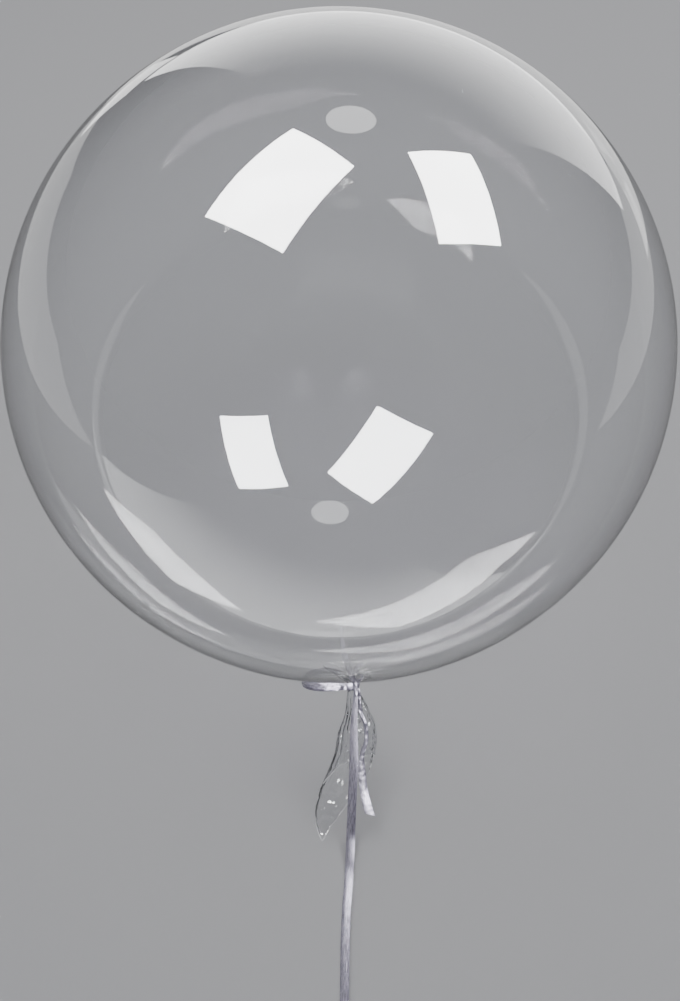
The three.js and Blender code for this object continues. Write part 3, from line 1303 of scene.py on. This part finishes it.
@dataclass(frozen=True)
class TailForm:
    """The film past the tie: a flattened tube, folded and crumpled, with a slanting mouth.

    It is held in the balloon's own frame. Its left side runs down to the tip, its right side
    ends sooner, and its upper layer is cut back to a line across the tail.
    """

    neck_radius: float = 3.8 * MM
    neck_end: float = 236 * MM
    pleats: int = 12
    pleat_depth: float = 0.9 * MM
    pleat_lift: float = 1.5 * MM
    flattens_by: float = 0.22
    gap: float = 1.9 * MM
    lip: float = 2.0 * MM
    lip_share: float = 0.05
    bunch_lift: float = 2.3 * MM
    bunch_size: float = 5.5 * MM
    pressed_over: float = 3.4 * MM
    pressed_share: float = 0.85
    pressed_at: float = 5.5 * MM
    pressed_within: float = 4.5 * MM
    cut_left: float = 0.55
    cut_right: float = 0.86
    cut_dip: float = 0.04
    fold_depth: float = 2.2 * MM
    folds: float = 2.6
    fold_turn: float = 0.9
    crease_slope: float = 0.34
    left_side: tuple[tuple[float, float], ...] = (
        (-3.8, 236), (-6, 251), (-11.5, 265), (-15, 280), (-23.7, 298.5),
        (-29.5, 312), (-31.8, 326), (-29, 342),
    )
    right_side: tuple[tuple[float, float], ...] = (
        (3.8, 236), (6, 240), (9.1, 245.8), (11.6, 252.7), (14.1, 257.6), (15.1, 266.5),
        (14, 276.7), (12, 288),
    )
    creases: tuple[tuple[float, float, float], ...] = (
        (8, 9.0, 0.13), (-24, 13.0, 0.57), (58, 11.0, 0.31), (-63, 7.5, 0.82), (35, 5.5, 0.44),
        (84, 16.0, 0.2),
    )

    def side_lines(self) -> tuple[list[Vector], list[Vector]]:
        """Returns the two sides of the flattened tail, each as evenly spaced points."""
        lines = []
        for side in (self.left_side, self.right_side):
            route = in_metres((across, 0.0, along) for across, along in side)
            lines.append(evenly(smooth_curve(route), 0.4 * MM))
        return lines[0], lines[1]

    def reach(self, turn: float) -> float:
        """Returns the share of the tail's length that the film has, a turn round the tube.

        The upper layer ends at a line across the tail, and the lower one at the mouth.
        """
        if turn <= math.pi:
            side = 1.0 - turn / math.pi
            dip = self.cut_dip * (1.0 - eased(side / 0.06))
            jag = 0.008 * saw(side * 7.0, 0.3) * math.sin(math.pi * side)
            return mixed(self.cut_left, self.cut_right, side**3) + dip + jag
        past = (turn - math.pi) / (0.10 * math.pi)
        until = (2 * math.pi - turn) / (0.10 * math.pi)
        left = mixed(self.cut_left + self.cut_dip, 1.0, eased(past))
        right = mixed(self.cut_right, 1.0, eased(until))
        return min(left, right)

    def place(self, lines: tuple[list[Vector], list[Vector]], turn: float, share: float) -> Vector:
        """Finds the place of a point of the tail.

        Args:
            lines: The tail's two sides.
            turn: The point's turn round the tube, from 0 at the right over the upper layer.
            share: How far down the tube it is, from the tie to the mouth.

        Returns:
            The place: across, lift and along.
        """
        down = share * self.reach(turn)
        flat = eased(down / self.flattens_by)
        level = 1.0 - 2.0 * turn / math.pi if turn < math.pi else 2.0 * turn / math.pi - 3.0
        at = mixed(math.cos(turn), level, flat)
        left, right = (line[round(down * (len(line) - 1))] for line in lines)
        place = left.lerp(right, 0.5 + 0.5 * at)
        groove = self.pleat_depth * 0.5 * (1.0 - math.cos(self.pleats * turn))
        bundle = (self.neck_radius - groove) * math.sin(turn)
        layer = 1.0 if turn < math.pi else -1.0
        inside = max(1.0 - at * at, 0.0)
        puff = self.gap * math.sqrt(inside) * (1.0 - 0.5 * down)
        wave = self.fold_depth * math.sin(self.folds * math.pi * at + self.fold_turn + 2.0 * down)
        pleat = self.pleat_lift * (1.0 - 0.8 * down) * saw(turn * self.pleats / math.tau, 0.0)
        folded = wave * math.sqrt(math.sin(math.pi * min(down + 0.02, 0.98)))
        crumpled = self.crumple(place, layer, inside) + self.bunched(place, layer, at) * inside
        crumpled += self.turned_up(share) if turn < math.pi else 0.0
        place.y = mixed(bundle, folded + layer * puff + pleat * inside + crumpled, flat)
        place.y -= self.pressed(place)
        return place

    def pressed(self, place: Vector) -> float:
        """Returns how far the ribbon's short end presses the film's ridges down under it."""
        over = max(place.y - self.pressed_over, 0.0)
        near = 1.0 - eased((abs(place.x - self.pressed_at) - self.pressed_within) / self.pressed_within)
        return over * near * self.pressed_share

    def bunched(self, place: Vector, layer: float, at: float) -> float:
        """Returns the lift of the close, steep creases down the tail's bunched right side."""
        where = Vector((place.x, place.z * 0.8, layer * 9 * MM)) / self.bunch_size
        ridge = 1.0 - 2.4 * abs(noise.noise(where))
        return self.bunch_lift * ridge * eased((at + 0.1) / 0.5)

    def turned_up(self, share: float) -> float:
        """Returns how far the upper layer curls up, near its cut edge."""
        return self.lip * max(1.0 - (1.0 - share) / self.lip_share, 0.0) ** 2

    def crumple(self, place: Vector, layer: float, inside: float) -> float:
        """Returns how far the creases lift the film at a place of one layer."""
        lift = 0.0
        for i, (heading, length, offset) in enumerate(self.creases):
            way = math.radians(heading)
            along = place.x * math.cos(way) + place.z * math.sin(way)
            shift = offset + (0.37 * (i + 1) if layer < 0 else 0.0) * min(inside * 3, 1.0)
            height = 0.25 * length * MM * self.crease_slope
            lift += height * saw(along / (length * MM), shift)
        return lift * 0.6


def saw(along: float, offset: float) -> float:
    """Returns a sharp-folded wave between -1 and 1 that repeats with each whole number."""
    return 4.0 * abs((along + offset) % 1.0 - 0.5) - 1.0


@dataclass(frozen=True)
class FilmEnvelope:
    """The clear film: the round bubble, the gathered throat and neck, and the tail."""

    pose: LyingPose
    finish: bpy.types.Material
    painted_glint_edge_finish: bpy.types.Material
    tail: TailForm = TailForm()
    wall: float = 0.2 * MM
    bead: float = 0.5 * MM
    sides: int = 192
    bubble_rings: int = 84
    throat_rings: int = 10
    neck_rings: int = 4
    tail_rings: int = 140
    throat_start: float = math.radians(175)
    throat_end: float = 227 * MM
    pleats: tuple[tuple[int, float, float], ...] = (
        (12, 0.75, 6.5), (19, 0.3, 5.0), (31, 0.2, 4.0), (7, 0.2, 8.0),
    )
    off_floor: float = 1.96 * MM
    held_within: float = math.radians(12)
    free_past: float = math.radians(40)


    def profile(self) -> list[Vector]:
        """Draws half of the envelope's outline, with the tail still a plain tube.

        Returns:
            The outline's points, from the far side of the bubble to the tail's mouth.
        """
        radius = self.pose.bubble_radius
        points = []
        for i in range(self.bubble_rings + 1):
            angle = self.throat_start * i / self.bubble_rings
            points.append(Vector((radius * math.sin(angle), 0.0, -radius * math.cos(angle))))
        start = points[-1]
        neck = self.tail.neck_radius
        throat = interpolate_bezier(
            start,
            Vector((start.x / 2, 0.0, start.z + 0.9 * MM)),
            Vector((neck + 0.4 * MM, 0.0, start.z + 1.0 * MM)),
            Vector((neck, 0.0, self.throat_end)),
            self.throat_rings + 1,
        )
        points += throat[1:]
        for i in range(1, self.neck_rings + 1):
            along = mixed(self.throat_end, self.tail.neck_end, i / self.neck_rings)
            points.append(Vector((neck, 0.0, along)))
        room = self.pose.tail_tip - self.tail.neck_end
        for i in range(1, self.tail_rings + 1):
            points.append(Vector((neck, 0.0, self.tail.neck_end + room * i / self.tail_rings)))
        return points

    def pleat(self, turn: float, short_of_neck: float) -> float:
        """Returns how deep the gathers are, a turn round and an angle in degrees off the neck."""
        depth = 0.0
        for count, deep, spread in self.pleats:
            fade = 1.0 - eased(short_of_neck / spread)
            depth += deep * MM * fade * 0.5 * (1.0 - math.cos(count * turn + 0.7 * (count % 5)))
        return depth

    def gather(self, vert: bmesh.types.BMVert) -> None:
        """Sinks one point of the bubble, the throat or the neck into its pleat."""
        turn = math.atan2(vert.co.y, vert.co.x)
        reach = math.hypot(vert.co.x, vert.co.y)
        short = math.degrees(math.atan2(reach, vert.co.z)) if vert.co.z > 0.0 else 90.0
        if short > 20.0 or reach < 1e-6:
            return
        if vert.co.z > self.throat_end:
            outward = Vector((vert.co.x, vert.co.y, 0.0)).normalized()
            groove = self.tail.pleat_depth * 0.5 * (1.0 - math.cos(self.tail.pleats * turn))
        else:
            outward = vert.normal
            groove = self.pleat(turn, short)
        vert.co -= outward * groove

    def settle(self, vert: bmesh.types.BMVert) -> None:
        """Rests a point on the floor: the bubble sags a little, and a small spot of it is flat."""
        neck_way = self.pose.turned((0, 0, 1))
        off_neck = (vert.co - self.pose.centre).angle(neck_way)
        free = eased((off_neck - self.held_within) / (self.free_past - self.held_within))
        rise = self.off_floor * (1.0 - vert.co.z / (2.0 * self.pose.bubble_radius))
        vert.co.z = max(vert.co.z + rise * free, 0.0)

    def line(self, shape: bmesh.types.BMesh) -> None:
        """Lines the film with its inner face, and closes the wall along the cut edge."""
        shape.normal_update()
        outer = shape.verts[:]
        cut = [edge for edge in shape.edges if edge.is_boundary]
        copied = bmesh.ops.duplicate(shape, geom=[*outer, *shape.edges, *shape.faces])
        inner_of = copied["vert_map"]
        for vert in outer:
            depth = self.bead if vert.is_boundary else self.wall
            inner_of[vert].co = vert.co - vert.normal * depth
        inner = [part for part in copied["geom"] if isinstance(part, bmesh.types.BMFace)]
        bmesh.ops.reverse_faces(shape, faces=inner)
        for edge in cut:
            corner = edge.link_loops[0]
            start, end = corner.vert, corner.link_loop_next.vert
            rim = shape.faces.new((end, start, inner_of[start], inner_of[end]))
            # The rim faces get the cut edge's white, a painted highlight.
            rim.material_index = 1

    def build(self) -> bpy.types.Object:
        """Makes the envelope.

        Returns:
            The envelope.
        """
        shape = bmesh.new()
        outline = [shape.verts.new(point) for point in self.profile()]
        edges = [shape.edges.new(pair) for pair in zip(outline, outline[1:])]
        bmesh.ops.spin(
            shape,
            geom=[*outline, *edges],
            cent=(0.0, 0.0, 0.0),
            axis=(0.0, 0.0, 1.0),
            angle=math.tau,
            steps=self.sides,
            use_merge=True,
        )
        bmesh.ops.remove_doubles(shape, verts=shape.verts, dist=0.001 * MM)
        bmesh.ops.recalc_face_normals(shape, faces=shape.faces)
        shape.normal_update()
        room = self.pose.tail_tip - self.tail.neck_end
        lines = self.tail.side_lines()
        for vert in shape.verts:
            share = (vert.co.z - self.tail.neck_end) / room
            if share > 1e-4:
                turn = math.atan2(vert.co.y, vert.co.x) % math.tau
                vert.co = self.tail.place(lines, turn, min(share, 1.0))
            else:
                self.gather(vert)
        bmesh.ops.transform(shape, matrix=self.pose.matrix, verts=shape.verts)
        for vert in shape.verts:
            self.settle(vert)
        self.line(shape)
        made = as_object("film_envelope", shape, sharp_from=75.0)
        made.data.materials.append(self.finish)
        made.data.materials.append(self.painted_glint_edge_finish)
        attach(made, "root")
        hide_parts("balloon_film")
        log.info("film envelope: %d faces", len(made.data.polygons))
        return made


def main() -> None:
    """Builds the scene in order and reports each piece."""
    logging.basicConfig(level=logging.INFO, format="%(message)s")
    pose = LyingPose()
    Viewpoint(pose).build()
    effects = Effects()
    pearl = PearlRibbonFinish(effects).build()
    ribbon = (
        LongEnd(pose, pearl).build(),
        ShortEnd(pose, pearl).build(),
        TiedBow(pose, pearl).build(),
    )
    clear = ClearFilmFinish(effects).build()
    film = FilmEnvelope(pose, clear, CutEdgePaintedGlintFinish(effects).build()).build()
    Studio(film, ribbon).build()


if __name__ == "__main__":
    main()
